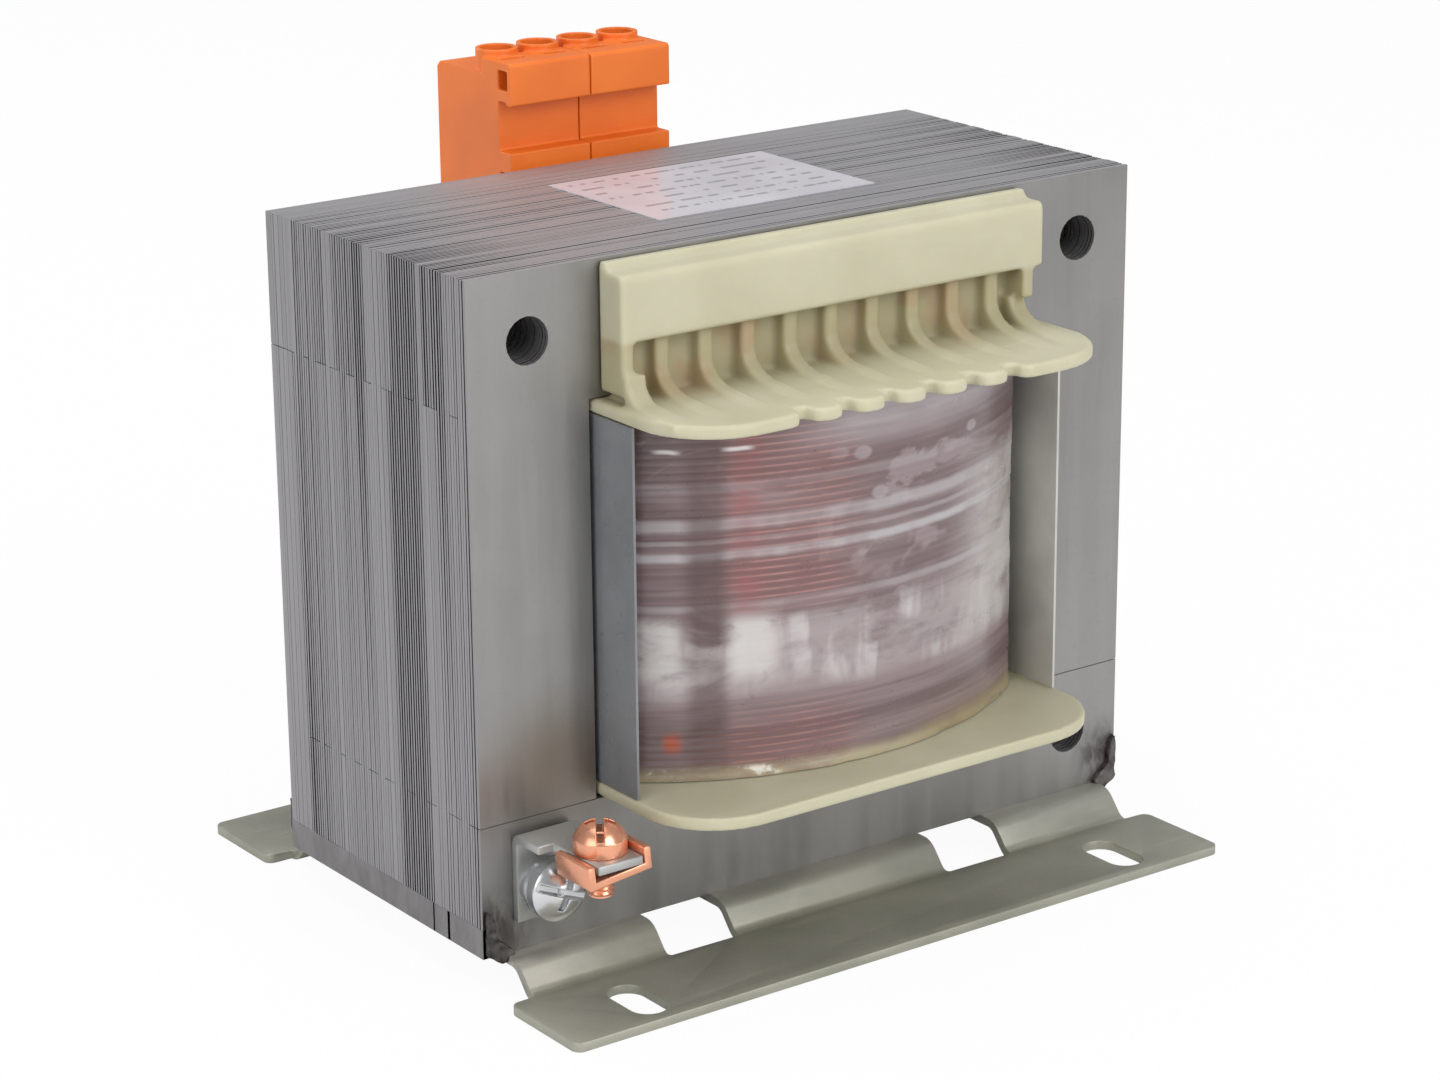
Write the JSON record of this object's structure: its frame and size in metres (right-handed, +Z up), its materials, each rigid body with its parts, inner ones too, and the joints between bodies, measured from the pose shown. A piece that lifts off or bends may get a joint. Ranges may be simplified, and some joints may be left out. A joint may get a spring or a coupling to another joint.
{
  "type": "laminated chassis transformer",
  "caption": "Open-frame mains transformer: welded EI core, wound bobbin, screw terminals on top and flanged feet for chassis mounting.",
  "frame": {"origin": "on the mounting surface, under the middle of the core", "axes": "+X along the width of the core, -Y towards the earth terminal side, +Z up"},
  "size_m": [0.121, 0.103, 0.1223],
  "materials": {
    "lamination_steel": "bare silicon steel sheet, slightly stained, edges matt",
    "seam_steel": "fused weld seam, dull grey",
    "weld_burnt": "burnt weld metal",
    "foot_steel": "zinc plated pressed sheet",
    "bobbin_nylon": "natural cream glass-filled nylon",
    "inner_wire": "enamelled copper wire",
    "barrier_film": "insulation film",
    "outer_wire": "enamelled copper wire under tape",
    "clear_tape": "clear polyester tape",
    "liner_film": "translucent grey film",
    "lead_sleeve": "sleeved tinned wire",
    "block_plastic": "orange polyamide",
    "terminal_screw_zinc": "zinc plated",
    "terminal_cage_steel": "zinc plated",
    "contact_brass": "tinned brass",
    "earth_zinc": "zinc plated sheet",
    "fastener_zinc": "zinc plated",
    "earth_copper": "copper plated",
    "label_stock": "blank white label"
  },
  "bodies": {
    "root": {"e_laminations_upright": "lamination_steel", "e_laminations_inverted": "lamination_steel", "i_laminations_bottom": "lamination_steel", "i_laminations_top": "lamination_steel", "weld_seams": "seam_steel", "foot_welds": "weld_burnt", "foot_front": "foot_steel", "foot_rear": "foot_steel", "bobbin": "bobbin_nylon", "inner_winding": "inner_wire", "winding_barrier": "barrier_film", "outer_winding": "outer_wire", "outer_tape": "clear_tape", "liner_left": "liner_film", "liner_right": "liner_film", "lead_1": "lead_sleeve", "lead_2": "lead_sleeve", "lead_3": "lead_sleeve", "lead_4": "lead_sleeve", "terminal_block_left": "block_plastic", "terminal_block_right": "block_plastic", "terminal_screws": "terminal_screw_zinc", "terminal_cages": "terminal_cage_steel", "terminal_contacts": "contact_brass", "earth_bracket": "earth_zinc", "earth_fixing_screw": "fastener_zinc", "earth_spring_washer": "fastener_zinc", "earth_washer": "fastener_zinc", "earth_rear_washer": "fastener_zinc", "earth_nut": "fastener_zinc", "earth_saddle": "earth_copper", "earth_clamp_screw": "earth_copper", "rating_label": "label_stock"}
  },
  "joints": []
}
